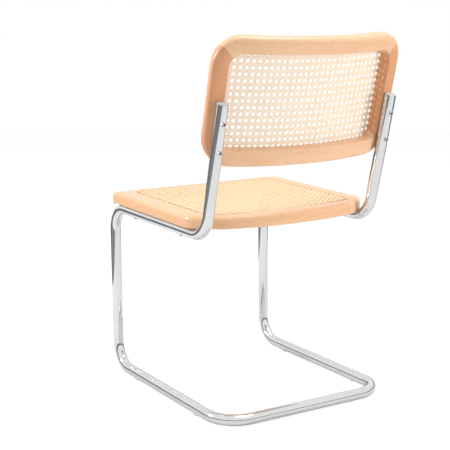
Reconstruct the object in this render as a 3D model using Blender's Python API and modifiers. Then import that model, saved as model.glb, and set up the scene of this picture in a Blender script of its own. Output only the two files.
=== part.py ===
"""A cantilever dining chair: one bent steel tube carries a caned beech seat and a caned, curved back.

Metres, +Z up. The sitter faces -Y and their left hand is towards +X. The floor is z = 0, and the origin
lies on the floor under the middle of the chair's bounding box.
"""

import math
from dataclasses import dataclass, replace

import bmesh
import bpy
from mathutils import Matrix, Vector
from mathutils.geometry import intersect_line_line_2d

# Clearances between pieces that touch on the real chair
SEAT_GAP = 0.0003
HOLE_CLEARANCE = 0.0003
HIP_RELIEF = 0.0008

# Steel tube: one length, bent in mirror image from upright to upright
TUBE_DIAMETER = 0.025
TUBE_WALL = 0.002
TRACK = 0.4254
FLOOR_RUN = 0.5017
LEG_RISE = 0.396
LEG_LEAN = math.radians(0.3)
SEAT_RUN = 0.4339
SEAT_FALL = math.radians(1.06)
UPRIGHT_RUN = 0.2924
UPRIGHT_LEAN = math.radians(14.76)
CORNER_BEND = 0.070
FOOT_BEND = 0.060
KNEE_BEND = 0.060
HIP_BEND = 0.060
BEND_STEPS = 7
TUBE_SIDES = 16

# Plugs in the two open tube ends
PLUG_DOME = 0.0022
PLUG_STEM = 0.014
PLUG_STEM_TAPER = 0.95
PLUG_CROWN = ((0.6, 0.85), (0.92, 0.45))

# Glides under the floor rails
GLIDE_DIAMETER = 0.018
GLIDE_HEIGHT = 0.0050
GLIDE_CHAMFER = 0.0008
GLIDE_LIFT = 0.0015
GLIDE_STEM_DIAMETER = 0.0054
GLIDE_STEM_RISE = 0.0065
GLIDE_FRONT = 0.105
GLIDE_REAR = 0.115

# Seat: a mitred beech frame that rests on the two seat rails of the tube
SEAT_OVERHANG = 0.0188
SEAT_FRONT = 0.0165
SEAT_REAR = 0.4605
SEAT_THICK = 0.027
SEAT_RAIL = 0.053
SEAT_FRONT_RAIL = 0.047
SEAT_FRONT_CORNER = 0.018
SEAT_REAR_CORNER = 0.040
SEAT_BOW_DROP = 0.0225
SEAT_BOW_POWER = 2.6
SEAT_SLOPE_RUN = 0.0645
SEAT_SLOPE_DROP = 0.050
SEAT_SLOPE_EASE = 0.070
SEAT_EDGE_ROUND = 0.008
SEAT_LOWER_ROUND = 0.003
SEAT_OPENING_CORNER = 0.020
SEAT_OPENING_BOW = 0.018
SEAT_REAR_RAIL = 0.049
SEAT_SIDE_MARKS = (0.020, 0.0265, 0.034)
SEAT_OPENING_MARKS = (0.022, 0.0265, 0.034)
NOSE_RADIUS = 0.024
NOSE_LIP = 0.004
NOSE_LIP_RUN = 0.012

# Back: a mitred beech frame bent round an upright cylinder, hollow side to the sitter
BACK_OVERHANG = 0.0273
BACK_HEIGHT = 0.274
BACK_DROP = 0.1404
BACK_THICK = 0.028
BACK_RAIL = 0.036
BACK_CORNER = 0.062
BACK_OPENING_CORNER = 0.028
BACK_EDGE_ROUND = 0.008
BACK_INNER_ROUND = 0.004
BACK_RADIUS = 0.750
BACK_SIDE_MARKS = (0.130,)
BACK_OPENING_MARKS = (0.100,)

# Cane panels, pressed into a groove round each opening and held there by a reed spline
CANE_THICK = 0.0018
CANE_SINK = 0.0001
CANE_LIP = 0.0060
REED_DIAMETER = 0.0037
GROOVE_SETBACK = 0.0070
GROOVE_DEPTH = 0.0090
SEAT_CANE_HOLES = (12, 11)
BACK_CANE_HOLES = (16, 8)
CANE_HOLE_SHARE = 0.46
CANE_MARGIN = 0.006

# Loose tenons across the eight mitres
TENON_LENGTH = 0.012
TENON_WIDTH = 0.016
TENON_THICK = 0.005
MITRE_GAP = 0.0003
MITRE_RIDGE = 0.002
TENON_HEIGHT_SHARE = 0.4

# Socket-head screws through the tube into the wood
SCREW_SHANK = 0.005
SCREW_HEAD = 0.0105
SCREW_HEAD_RISE = 0.0028
SCREW_IN_WOOD = 0.017
SCREW_SOCKET = 0.0040
SCREW_SOCKET_DEPTH = 0.0018
SCREW_POINT = 0.003
SCREW_CROWN = ((0.55, 1.0), (0.88, 0.7), (1.0, 0.25))
SEAT_SCREWS_AT = (0.1126, 0.3303)
BACK_SCREWS_DOWN = (0.0999, 0.0394)

# Working values of the modelling: how far cutters stand out, where welds and facets start
CUTTER_REACH = 0.05
CUTTER_OVERSHOOT = 0.005
WEDGE_DEPTH = 0.09
RELIEF_START = 0.15
RELIEF_END = 0.20
SMALLEST_CORNER = 0.003
CORNER_CLEAR = 1.15
WELD_DISTANCE = 0.00001
SMOOTH_ANGLE = math.radians(35)

TUBE_RADIUS = TUBE_DIAMETER / 2
HALF_TRACK = TRACK / 2
SEAT_WIDTH = TRACK + 2 * SEAT_OVERHANG
BACK_WIDTH = TRACK + 2 * BACK_OVERHANG
BACK_LOW = UPRIGHT_RUN - BACK_DROP
BACK_HIGH = BACK_LOW + BACK_HEIGHT
BACK_SCREWS_AT = tuple(UPRIGHT_RUN - down for down in BACK_SCREWS_DOWN)
FLOOR_AXIS = GLIDE_LIFT + TUBE_RADIUS


# Materials: one for each finish
def finish(name, colour, roughness, metallic=0.0):
    material = bpy.data.materials.new(name)
    material.use_nodes = True
    shader = material.node_tree.nodes["Principled BSDF"]
    shader.inputs["Base Color"].default_value = (*colour, 1.0)
    shader.inputs["Roughness"].default_value = roughness
    shader.inputs["Metallic"].default_value = metallic
    material.diffuse_color = (*colour, 1.0)
    return material


# Small helpers for meshes and objects
def clear_scene():
    for item in list(bpy.data.objects):
        bpy.data.objects.remove(item, do_unlink=True)


def new_collection(name):
    group = bpy.data.collections.new(name)
    bpy.context.scene.collection.children.link(group)
    return group


def evaluated_mesh(item):
    """The object's mesh with its modifiers, welded, in the object's own axes."""
    bpy.context.view_layer.update()
    graph = bpy.context.evaluated_depsgraph_get()
    mesh = bpy.data.meshes.new_from_object(item.evaluated_get(graph), depsgraph=graph)
    shape = bmesh.new()
    shape.from_mesh(mesh)
    bmesh.ops.remove_doubles(shape, verts=shape.verts, dist=WELD_DISTANCE / 10)
    shape.to_mesh(mesh)
    shape.free()
    return mesh


def add_part(name, mesh, material, matrix):
    item = bpy.data.objects.new(name, mesh)
    PARTS.objects.link(item)
    item.parent = CHAIR
    item.matrix_local = matrix
    mesh.materials.clear()
    mesh.materials.append(material)
    mesh.shade_smooth()
    mesh.set_sharp_from_angle(angle=SMOOTH_ANGLE)
    return item


def add_cutter(name, mesh, matrix):
    item = bpy.data.objects.new(name, mesh)
    CUTTERS.objects.link(item)
    item.parent = CHAIR
    item.matrix_local = matrix
    item.hide_render = True
    item.display_type = "WIRE"
    return item


def boolean(item, cutter, operation):
    step = item.modifiers.new(cutter.name, "BOOLEAN")
    step.operation = operation
    step.solver = "EXACT"
    step.object = cutter
    return step


def joined(meshes_and_places):
    """One mesh that holds several closed bodies, each moved to its place."""
    shape = bmesh.new()
    for mesh, place in meshes_and_places:
        copy = mesh.copy()
        copy.transform(place)
        shape.from_mesh(copy)
        bpy.data.meshes.remove(copy)
    mesh = bpy.data.meshes.new("joined")
    shape.to_mesh(mesh)
    shape.free()
    return mesh


def cylinder(radius, low, high, sides=12):
    """A cylinder on the Z axis between two heights."""
    shape = bmesh.new()
    bmesh.ops.create_cone(
        shape, cap_ends=True, segments=sides, radius1=radius, radius2=radius, depth=high - low,
        matrix=Matrix.Translation((0, 0, (low + high) / 2)),
    )
    mesh = bpy.data.meshes.new("cylinder")
    shape.to_mesh(mesh)
    shape.free()
    return mesh


def box(size):
    """A box centred on its own origin."""
    shape = bmesh.new()
    bmesh.ops.create_cube(shape, size=1.0)
    bmesh.ops.scale(shape, vec=size, verts=shape.verts)
    mesh = bpy.data.meshes.new("box")
    shape.to_mesh(mesh)
    shape.free()
    return mesh


def turned(profile, steps=20):
    """A solid turned about Z from (radius, height) points that run down its outer side."""
    mesh = bpy.data.meshes.new("profile")
    points = [(radius, 0, height) for radius, height in profile]
    mesh.from_pydata(points, [(i, i + 1) for i in range(len(points) - 1)], [])
    item = bpy.data.objects.new("profile", mesh)
    CUTTERS.objects.link(item)
    spin = item.modifiers.new("turn", "SCREW")
    spin.steps = steps
    spin.render_steps = steps
    spin.use_merge_vertices = True
    spin.merge_threshold = WELD_DISTANCE
    result = evaluated_mesh(item)
    bpy.data.objects.remove(item, do_unlink=True)
    bpy.data.meshes.remove(mesh)
    return result


def curve_mesh(loops, dimensions, **settings):
    """The mesh of a curve made of poly loops; an open run is given as (points, False)."""
    curve = bpy.data.curves.new("curve", "CURVE")
    curve.dimensions = dimensions
    for points, closed in loops:
        spline = curve.splines.new("POLY")
        spline.points.add(len(points) - 1)
        for point, place in zip(spline.points, points):
            point.co = (*place, 1.0)
        spline.use_cyclic_u = closed
    for key, value in settings.items():
        setattr(curve, key, value)
    item = bpy.data.objects.new("curve", curve)
    CUTTERS.objects.link(item)
    mesh = evaluated_mesh(item)
    bpy.data.objects.remove(item, do_unlink=True)
    bpy.data.curves.remove(curve)
    return mesh


def prism(points, low, high):
    """A flat outline made solid between two heights."""
    flat = [(x, y, 0.0) for x, y in points]
    mesh = curve_mesh([(flat, True)], "2D", fill_mode="BOTH", extrude=(high - low) / 2)
    mesh.transform(Matrix.Translation((0, 0, (low + high) / 2)))
    return mesh


def loft(loops):
    """A closed ring: each loop of points is joined to the next, and the last to the first."""
    shape = bmesh.new()
    rows = [[shape.verts.new(point) for point in loop] for loop in loops]
    count = len(rows[0])
    for this, after in zip(rows, rows[1:] + rows[:1]):
        for i in range(count):
            j = (i + 1) % count
            shape.faces.new((this[i], this[j], after[j], after[i]))
    bmesh.ops.recalc_face_normals(shape, faces=shape.faces)
    mesh = bpy.data.meshes.new("loft")
    shape.to_mesh(mesh)
    shape.free()
    return mesh


def fillet(before, corner, after, radius, steps):
    """Points of the arc that rounds a corner between two straight runs, in 2D or 3D."""
    a = (before - corner).normalized()
    b = (after - corner).normalized()
    half = a.angle(b) / 2
    reach = radius / math.tan(half)
    centre = corner + (a + b).normalized() * (radius / math.sin(half))
    start = corner + a * reach - centre
    across = (a + b).normalized() * -1
    side = (start - across * start.dot(across)).normalized()
    sweep = math.pi / 2 - half
    points = []
    for step in range(steps + 1):
        angle = sweep * (1 - 2 * step / steps)
        points.append(centre + (across * math.cos(angle) + side * math.sin(angle)) * radius)
    return points


# Outlines of the seat and the back, seen square to their faces
@dataclass
class Outline:
    """A rounded rectangle whose far edge (high y) may be bowed outwards."""

    half_width: float
    low: float
    high: float
    low_corner: float
    high_corner: float
    bow: float = 0.0
    stations: int = 4
    side_marks: tuple = ()
    corner_steps: int = 6

    def far_edge(self):
        """Corners of the far edge from right to left, each with its radius and its number of steps."""
        side = self.half_width
        far = self.high - self.bow
        run = [(Vector((side, far)), self.high_corner, self.corner_steps)]
        for x in reversed(self.between(self.high_corner)):
            drop = 0.0
            if self.bow:
                radius = (side**2 + self.bow**2) / (2 * self.bow)
                drop = radius - math.sqrt(radius**2 - x**2)
            run.append((Vector((x, self.high - drop)), 0, 0))
        run.append((Vector((-side, far)), self.high_corner, self.corner_steps))
        return run

    def corners(self, grow):
        """All the corners, anticlockwise from the low left one, side marks clear of the low corners."""
        side = self.half_width
        bend_end = self.low - grow + max(self.low_corner + grow, SMALLEST_CORNER)
        marks = [max(self.low + mark, bend_end + mark / 10) for mark in self.side_marks]
        run = [(Vector((-side, self.low)), self.low_corner, self.corner_steps)]
        run += [(Vector((x, self.low)), 0, 0) for x in self.between(self.low_corner)]
        run.append((Vector((side, self.low)), self.low_corner, self.corner_steps))
        run += [(Vector((side, y)), 0, 0) for y in marks]
        run += self.far_edge()
        run += [(Vector((-side, y)), 0, 0) for y in reversed(marks)]
        return run

    def points(self, grow=0.0):
        """The outline moved outwards by grow, as 2D points that run the same way round each time."""
        run = self.corners(grow)
        count = len(run)
        moved = []
        for i, (corner, radius, steps) in enumerate(run):
            moved.append(moved_out(run[i - 1][0], corner, run[(i + 1) % count][0], grow))
        result = []
        for i, (corner, radius, steps) in enumerate(run):
            if radius == 0:
                result.append(moved[i])
            else:
                bend = max(radius + grow, SMALLEST_CORNER)
                result += fillet(moved[i - 1], moved[i], moved[(i + 1) % count], bend, steps)
        return result

    def between(self, corner):
        """Stations along an edge, clear of its rounded corners."""
        reach = self.half_width - CORNER_CLEAR * corner
        last = self.stations - 1
        return [reach * (2 * i / last - 1) for i in range(self.stations)]


@dataclass
class SeatOutline(Outline):
    """The seat's own outline: its rear edge is bowed, and slopes away to a tight corner on each side."""

    def far_edge(self):
        side = self.half_width
        reach = side - SEAT_SLOPE_RUN
        shoulder = self.high - SEAT_BOW_DROP
        right = [
            (Vector((side, shoulder - SEAT_SLOPE_DROP)), self.high_corner, self.corner_steps - 1),
            (Vector((reach, shoulder)), SEAT_SLOPE_EASE, 2),
        ]
        left = [(Vector((-place.x, place.y)), radius, steps) for place, radius, steps in reversed(right)]
        half = self.high - SEAT_BOW_DROP * 0.5**SEAT_BOW_POWER
        crown = [(reach / 2, half), (0.0, self.high), (-reach / 2, half)]
        return right + [(Vector(place), 0, 0) for place in crown] + left


def moved_out(before, corner, after, grow):
    """A corner of an anticlockwise outline after both of its edges move outwards by grow."""
    arriving = (corner - before).normalized()
    leaving = (after - corner).normalized()
    first = Vector((arriving.y, -arriving.x))
    second = Vector((leaving.y, -leaving.x))
    return corner + (first + second) * (grow / (1 + first.dot(second)))


def at_height(points, height):
    return [Vector((p.x, p.y, height)) for p in points]


def quarter(radius, steps=3):
    """Inset and rise along a rounded edge, from the face to the side."""
    turns = [math.pi / 2 * i / steps for i in range(steps + 1)]
    return [(radius * (1 - math.sin(t)), radius * (1 - math.cos(t))) for t in turns]


# Tube frame
def side_joints(side):
    """Where the straight runs of one side meet: foot, corner, knee, hip and tip."""
    x = side * HALF_TRACK
    foot = Vector((x, -FLOOR_RUN, FLOOR_AXIS))
    corner = Vector((x, 0, FLOOR_AXIS))
    knee = foot + LEG_RISE * Vector((0, math.sin(LEG_LEAN), math.cos(LEG_LEAN)))
    hip = knee + SEAT_RUN * Vector((0, math.cos(SEAT_FALL), -math.sin(SEAT_FALL)))
    tip = hip + UPRIGHT_RUN * Vector((0, math.sin(UPRIGHT_LEAN), math.cos(UPRIGHT_LEAN)))
    return foot, corner, knee, hip, tip


def tube_centreline():
    foot, corner, knee, hip, tip = side_joints(1)
    foot_r, corner_r, knee_r, hip_r, tip_r = side_joints(-1)
    run = [tip, hip, knee, foot, corner, corner_r, foot_r, knee_r, hip_r, tip_r]
    radii = [HIP_BEND, KNEE_BEND, FOOT_BEND, CORNER_BEND]
    radii = radii + radii[::-1]
    points = [run[0]]
    for i, radius in enumerate(radii):
        points += fillet(run[i], run[i + 1], run[i + 2], radius, BEND_STEPS)
    points.append(run[-1])
    return points


def build_tube():
    skin = curve_mesh(
        [(tube_centreline(), False)], "3D", fill_mode="FULL", bevel_depth=TUBE_RADIUS,
        bevel_resolution=(TUBE_SIDES - 4) // 2, use_fill_caps=False,
    )
    tube = add_part("frame_tube", skin, CHROME, Matrix.Identity(4))
    wall = tube.modifiers.new("wall", "SOLIDIFY")
    wall.thickness = TUBE_WALL
    wall.offset = -1
    wall.use_even_offset = True
    return tube


# Frames of reference for the seat and the back
def seat_frame():
    """On the seat rails' top line: x across, y to the rear along the rail, z square to it."""
    knee = side_joints(1)[2]
    origin = Vector((0, knee.y, knee.z))
    turn = Matrix.Rotation(-SEAT_FALL, 4, "X")
    return Matrix.Translation(origin) @ turn @ Matrix.Translation((0, 0, TUBE_RADIUS + SEAT_GAP))


def back_frame():
    """On the uprights' axes: x across, y up along them, z square to them towards the sitter."""
    hip = side_joints(1)[3]
    turn = Matrix.Rotation(math.pi / 2 - UPRIGHT_LEAN, 4, "X")
    return Matrix.Translation((0, hip.y, hip.z)) @ turn


def back_setback():
    """How far the back's rear face lies behind the uprights' axes at mid-width."""
    lean = math.asin(HALF_TRACK / BACK_RADIUS)
    touch = (TUBE_RADIUS + SEAT_GAP) / math.cos(lean)
    return BACK_RADIUS * (1 - math.cos(lean)) - touch


def wrap(mesh):
    """Bends a flat mesh round the back's cylinder: x becomes an arc, z its depth from the rear face."""
    setback = back_setback()
    for vertex in mesh.vertices:
        x, y, z = vertex.co
        angle = x / BACK_RADIUS
        radius = BACK_RADIUS - z
        vertex.co = (radius * math.sin(angle), y, BACK_RADIUS - setback - radius * math.cos(angle))
    return mesh


def wrapped_place(x, y, depth):
    """A place on the bent back, with its axes turned to follow the bend."""
    setback = back_setback()
    angle = x / BACK_RADIUS
    radius = BACK_RADIUS - depth
    spot = Vector((radius * math.sin(angle), y, BACK_RADIUS - setback - radius * math.cos(angle)))
    return Matrix.Translation(spot) @ Matrix.Rotation(-angle, 4, "Y")


# Wooden frames
def ring_loops(outer, opening, thick, edge_round, lower_round, inner_round, lower_insets=(), top_insets=()):
    """Section of a frame rail as loops round the ring: outer side, caned face, groove, opening, rear face."""
    loops = [at_height(outer.points(-inset), 0) for inset in lower_insets]
    for inset, rise in quarter(lower_round):
        loops.append(at_height(outer.points(-inset), rise))
    for inset, rise in reversed(quarter(edge_round)):
        loops.append(at_height(outer.points(-inset), thick - rise))
    for front, inset in top_insets:
        lip = replace(outer, low=outer.low + front - inset)
        loops.append(at_height(lip.points(-inset), thick))
    far_wall = GROOVE_SETBACK + groove_width()
    loops.append(at_height(opening.points(far_wall), thick))
    loops.append(at_height(opening.points(far_wall), thick - GROOVE_DEPTH))
    loops.append(at_height(opening.points(GROOVE_SETBACK), thick - GROOVE_DEPTH))
    loops.append(at_height(opening.points(GROOVE_SETBACK), thick - rebate_depth()))
    loops.append(at_height(opening.points(0), thick - rebate_depth()))
    for inset, rise in reversed(quarter(inner_round, 2)):
        loops.append(at_height(opening.points(inset), rise))
    return loops


def rebate_depth():
    return CANE_SINK + CANE_THICK + SEAT_GAP


def groove_width():
    return 3 * SEAT_GAP + CANE_THICK + REED_DIAMETER


def mitre_corners(outer, opening):
    """Where the mitre lines start: half width, near y and far y of the rectangle round the frame."""
    rail = outer.half_width - opening.half_width
    return outer.half_width, outer.low, opening.high - opening.bow + rail


def mitre_wedges(outer, opening):
    """The four regions of the plan between the mitre lines, each pulled back by half the mitre gap."""
    w, low, high = mitre_corners(outer, opening)
    out = CUTTER_REACH
    gap = MITRE_GAP / math.sqrt(2)
    deep = min(w, (high - low) / 2) - MITRE_RIDGE
    return {
        "low": [(-w - out + gap, low - out), (w + out - gap, low - out), (w - deep - gap, low + deep),
                (-w + deep + gap, low + deep)],
        "high": [(-w + deep + gap, high - deep), (w - deep - gap, high - deep),
                 (w + out - gap, high + out), (-w - out + gap, high + out)],
        "left": [(w - deep, low + deep + gap), (w + out, low - out + gap),
                 (w + out, high + out - gap), (w - deep, high - deep - gap)],
        "right": [(-w + deep, high - deep - gap), (-w - out, high + out - gap),
                  (-w - out, low - out + gap), (-w + deep, low + deep + gap)],
    }


def first_met(points, start, way):
    """The place where a line from start first meets a closed outline."""
    stop = start + way
    hits = [intersect_line_line_2d(start, stop, a, b) for a, b in zip(points, points[1:] + points[:1])]
    return min((hit for hit in hits if hit), key=lambda hit: (hit - start).length)


def mitre_centres(outer, opening):
    """The middle of each mitre, between the frame's outer side and its opening."""
    w, low, high = mitre_corners(outer, opening)
    centres = {}
    for end, y, inward, turn in (("low", low, 1, 45), ("high", high, -1, 135)):
        start = Vector((w, y))
        way = Vector((-w, inward * w))
        middle = (first_met(outer.points(), start, way) + first_met(opening.points(), start, way)) / 2
        centres[f"{end}_left"] = (middle.x, middle.y, turn)
        centres[f"{end}_right"] = (-middle.x, middle.y, 180 - turn)
    return centres


def cut_rails(ring, outer, opening, frame, names, cutter_name):
    """Four rails from one ring, each kept by its own wedge."""
    rails = {}
    for key, points in mitre_wedges(outer, opening).items():
        wedge = add_cutter(f"{cutter_name}_{key}", prism(points, -WEDGE_DEPTH, WEDGE_DEPTH), frame)
        rail = add_part(names[key], ring.copy(), BEECH, frame)
        boolean(rail, wedge, "INTERSECT")
        rails[key] = rail
    bpy.data.meshes.remove(ring)
    return rails


def add_tenons(rails, outer, opening, frame, place, part_name, thick):
    """A loose tenon across each mitre, and its slots in the two rails that meet there."""
    size = (TENON_LENGTH, TENON_WIDTH, TENON_THICK)
    slot_size = [side + 2 * HOLE_CLEARANCE for side in size]
    touching = {"low_left": ("low", "left"), "low_right": ("low", "right"),
                "high_left": ("high", "left"), "high_right": ("high", "right")}
    for key, (x, y, turn) in mitre_centres(outer, opening).items():
        spot = frame @ place(x, y, thick) @ Matrix.Rotation(math.radians(turn + 90), 4, "Z")
        add_part(f"{part_name}_tenon_{key}", box(size), TENON_BEECH, spot)
        slot = add_cutter(f"{part_name}_slot_{key}", box(slot_size), spot)
        for rail in touching[key]:
            boolean(rails[rail], slot, "DIFFERENCE")


# Cane and its spline
def grid_perimeter(columns, rows, w, low, high):
    """The points round a grid of cells, one for each cell corner on its edge."""
    across = [-w + 2 * w * i / columns for i in range(columns + 1)]
    along = [low + (high - low) * i / rows for i in range(rows + 1)]
    points = [(x, low, 0) for x in across[:-1]]
    points += [(w, y, 0) for y in along[:-1]]
    points += [(x, high, 0) for x in reversed(across[1:])]
    points += [(-w, y, 0) for y in reversed(along[1:])]
    return points


def cane_mesh(opening, count, top):
    """A pierced sheet whose edge is turned down into the groove, then given its thickness."""
    columns, rows = count
    w = opening.half_width - CANE_MARGIN
    low = opening.low + CANE_MARGIN
    high = opening.high - opening.bow - CANE_MARGIN
    pitch = (2 * w / columns, (high - low) / rows)
    shape = bmesh.new()
    bmesh.ops.create_grid(shape, x_segments=columns, y_segments=rows, size=0.5)
    place = Matrix.Translation((0, (low + high) / 2, 0)) @ Matrix.Diagonal((2 * w, high - low, 1, 1))
    bmesh.ops.transform(shape, matrix=place, verts=shape.verts)
    cells = list(shape.faces)
    bmesh.ops.inset_individual(shape, faces=cells, thickness=min(pitch) * (1 - CANE_HOLE_SHARE) / 2)
    bmesh.ops.delete(shape, geom=cells, context="FACES")
    rim = at_height(opening.points(GROOVE_SETBACK + SEAT_GAP + CANE_THICK), 0)
    perimeter = grid_perimeter(columns, rows, w, low, high)
    border = even_border(curve_mesh([(rim, True), (perimeter, True)], "2D", fill_mode="BOTH"))
    shape.from_mesh(border)
    bpy.data.meshes.remove(border)
    bmesh.ops.remove_doubles(shape, verts=shape.verts, dist=WELD_DISTANCE)
    face_up(shape)
    turned_down = bmesh.ops.extrude_edge_only(shape, edges=rim_edges(shape))["geom"]
    fresh = [item for item in turned_down if isinstance(item, bmesh.types.BMVert)]
    bmesh.ops.translate(shape, vec=(0, 0, -CANE_LIP), verts=fresh)
    face_up(shape)
    mesh = bpy.data.meshes.new("cane")
    shape.to_mesh(mesh)
    shape.free()
    sheet = bpy.data.objects.new("sheet", mesh)
    CUTTERS.objects.link(sheet)
    wall = sheet.modifiers.new("cane", "SOLIDIFY")
    wall.thickness = CANE_THICK
    wall.offset = -1
    wall.use_even_offset = True
    solid = evaluated_mesh(sheet)
    bpy.data.objects.remove(sheet, do_unlink=True)
    solid.transform(Matrix.Translation((0, 0, top - CANE_SINK)))
    return solid


def even_border(mesh):
    """Turns the edges of a flat filled band until its triangles are short, so that it can be bent."""
    shape = bmesh.new()
    shape.from_mesh(mesh)
    bmesh.ops.remove_doubles(shape, verts=shape.verts, dist=WELD_DISTANCE)
    bmesh.ops.triangulate(shape, faces=shape.faces)
    inner = [edge for edge in shape.edges if not edge.is_boundary]
    bmesh.ops.beautify_fill(shape, faces=shape.faces, edges=inner)
    shape.to_mesh(mesh)
    shape.free()
    return mesh


def face_up(shape):
    """Turns all the faces of an open sheet so that its upper side is its outside."""
    bmesh.ops.recalc_face_normals(shape, faces=shape.faces)
    if sum(face.normal.z for face in shape.faces) < 0:
        bmesh.ops.reverse_faces(shape, faces=shape.faces)


def rim_edges(shape):
    """The sheet's outer boundary: the loop of open edges that reaches furthest out."""
    start = max((vert for vert in shape.verts if vert.is_boundary), key=lambda vert: vert.co.x)
    rim = set()
    front = [start]
    while front:
        vert = front.pop()
        for edge in vert.link_edges:
            if edge.is_boundary and edge not in rim:
                rim.add(edge)
                front.append(edge.other_vert(vert))
    return list(rim)


def reed_mesh(opening, top):
    """A round reed bent into a closed ring beside the cane's turned-down edge."""
    offset = GROOVE_SETBACK + 2 * SEAT_GAP + CANE_THICK + REED_DIAMETER / 2
    radius = REED_DIAMETER / 2
    path = at_height(opening.points(offset), top - CANE_SINK - radius)
    return curve_mesh([(path, True)], "3D", fill_mode="FULL", bevel_depth=radius, bevel_resolution=1)


# Seat
def nose(mesh):
    """Rolls the seat's front edge down, and lowers its underside there by the depth of the lip."""
    for vertex in mesh.vertices:
        x, y, z = vertex.co
        run = y - SEAT_FRONT
        if run < NOSE_RADIUS:
            drop = NOSE_RADIUS - math.sqrt(max(NOSE_RADIUS**2 - (NOSE_RADIUS - run) ** 2, 0.0))
            z *= 1 - drop / SEAT_THICK
        if run <= NOSE_LIP_RUN:
            z -= NOSE_LIP * (1 - vertex.co.z / SEAT_THICK)
        vertex.co.z = z
    return mesh


def build_seat():
    frame = seat_frame()
    outer = SeatOutline(
        SEAT_WIDTH / 2, SEAT_FRONT, SEAT_REAR, SEAT_FRONT_CORNER, SEAT_REAR_CORNER, stations=7,
        side_marks=SEAT_SIDE_MARKS, corner_steps=5,
    )
    opening = Outline(
        SEAT_WIDTH / 2 - SEAT_RAIL, SEAT_FRONT + SEAT_FRONT_RAIL, SEAT_REAR - SEAT_REAR_RAIL,
        SEAT_OPENING_CORNER, SEAT_OPENING_CORNER, SEAT_OPENING_BOW, stations=7,
        side_marks=SEAT_OPENING_MARKS, corner_steps=5,
    )
    nose_insets = [(NOSE_RADIUS * share, SEAT_EDGE_ROUND * (1 + share / 4)) for share in (0.5, 0.75, 1)]
    lip_inset = NOSE_LIP_RUN + SEAT_LOWER_ROUND
    loops = ring_loops(
        outer, opening, SEAT_THICK, SEAT_EDGE_ROUND, SEAT_LOWER_ROUND, SEAT_LOWER_ROUND,
        (lip_inset,), nose_insets,
    )
    ring = nose(loft(loops))
    names = {
        "low": "seat_front_rail", "high": "seat_rear_rail",
        "left": "seat_left_rail", "right": "seat_right_rail",
    }
    rails = cut_rails(ring, outer, opening, frame, names, "seat_mitre")
    relief = add_cutter("hip_relief", hip_relief(), Matrix.Identity(4))
    for key in ("left", "right", "high"):
        boolean(rails[key], relief, "DIFFERENCE")
    add_tenons(rails, outer, opening, frame, flat_place, "seat", SEAT_THICK * TENON_HEIGHT_SHARE)
    add_part("seat_cane", cane_mesh(opening, SEAT_CANE_HOLES, SEAT_THICK), CANE, frame)
    add_part("seat_spline", reed_mesh(opening, SEAT_THICK), REED, frame)
    return rails, frame


def hip_relief():
    """The space that the two rising bends of the tube take from the underside of the seat's rear corners."""
    bodies = []
    for side in (1, -1):
        knee, hip, tip = side_joints(side)[2:]
        bend = fillet(knee, hip, tip, HIP_BEND, BEND_STEPS)
        bend[0] = bend[0].lerp(bend[1], RELIEF_START)
        bend.append(bend[-1].lerp(tip, RELIEF_END))
        bodies.append(curve_mesh(
            [(bend, False)], "3D", fill_mode="FULL", bevel_depth=TUBE_RADIUS + HIP_RELIEF,
            bevel_resolution=TUBE_SIDES - 2, use_fill_caps=True,
        ))
    mesh = joined([(mesh, Matrix.Identity(4)) for mesh in bodies])
    shape = bmesh.new()
    shape.from_mesh(mesh)
    bmesh.ops.recalc_face_normals(shape, faces=shape.faces)
    shape.to_mesh(mesh)
    shape.free()
    return mesh


def flat_place(x, y, depth):
    return Matrix.Translation((x, y, depth))


# Back
def build_back():
    frame = back_frame()
    outer = Outline(
        BACK_WIDTH / 2, BACK_LOW, BACK_HIGH, BACK_CORNER, BACK_CORNER, stations=11,
        side_marks=BACK_SIDE_MARKS,
    )
    opening = Outline(
        BACK_WIDTH / 2 - BACK_RAIL, BACK_LOW + BACK_RAIL, BACK_HIGH - BACK_RAIL,
        BACK_OPENING_CORNER, BACK_OPENING_CORNER, stations=11, side_marks=BACK_OPENING_MARKS,
    )
    loops = ring_loops(outer, opening, BACK_THICK, BACK_EDGE_ROUND, BACK_EDGE_ROUND, BACK_INNER_ROUND)
    ring = wrap(loft(loops))
    names = {
        "low": "back_bottom_rail", "high": "back_top_rail",
        "left": "back_left_stile", "right": "back_right_stile",
    }
    rails = cut_rails(ring, outer, opening, frame, names, "back_mitre")
    add_tenons(rails, outer, opening, frame, wrapped_place, "back", BACK_THICK * TENON_HEIGHT_SHARE)
    add_part("back_cane", wrap(cane_mesh(opening, BACK_CANE_HOLES, BACK_THICK)), CANE, frame)
    add_part("back_spline", wrap(reed_mesh(opening, BACK_THICK)), REED, frame)
    return rails, frame


# Screws, plugs and glides
def screw_mesh():
    """Button head with a hexagon socket, shank down to a blunt point; z = 0 is under the head."""
    head = SCREW_HEAD / 2
    shank = SCREW_SHANK / 2
    length = TUBE_DIAMETER + SCREW_IN_WOOD
    profile = [(0, SCREW_HEAD_RISE)]
    profile += [(head * out, SCREW_HEAD_RISE * up) for out, up in SCREW_CROWN]
    profile += [(head, 0), (shank, 0), (shank, -length + SCREW_POINT), (0, -length)]
    item = bpy.data.objects.new("screw", turned(profile, 16))
    CUTTERS.objects.link(item)
    floor = SCREW_HEAD_RISE - SCREW_SOCKET_DEPTH
    flats = SCREW_SOCKET / 2 / math.cos(math.pi / 6)
    socket = bpy.data.objects.new("socket", cylinder(flats, floor, SCREW_HEAD_RISE + CUTTER_OVERSHOOT, 6))
    CUTTERS.objects.link(socket)
    boolean(item, socket, "DIFFERENCE")
    mesh = evaluated_mesh(item)
    for extra in (item, socket):
        bpy.data.objects.remove(extra, do_unlink=True)
    return mesh


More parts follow.
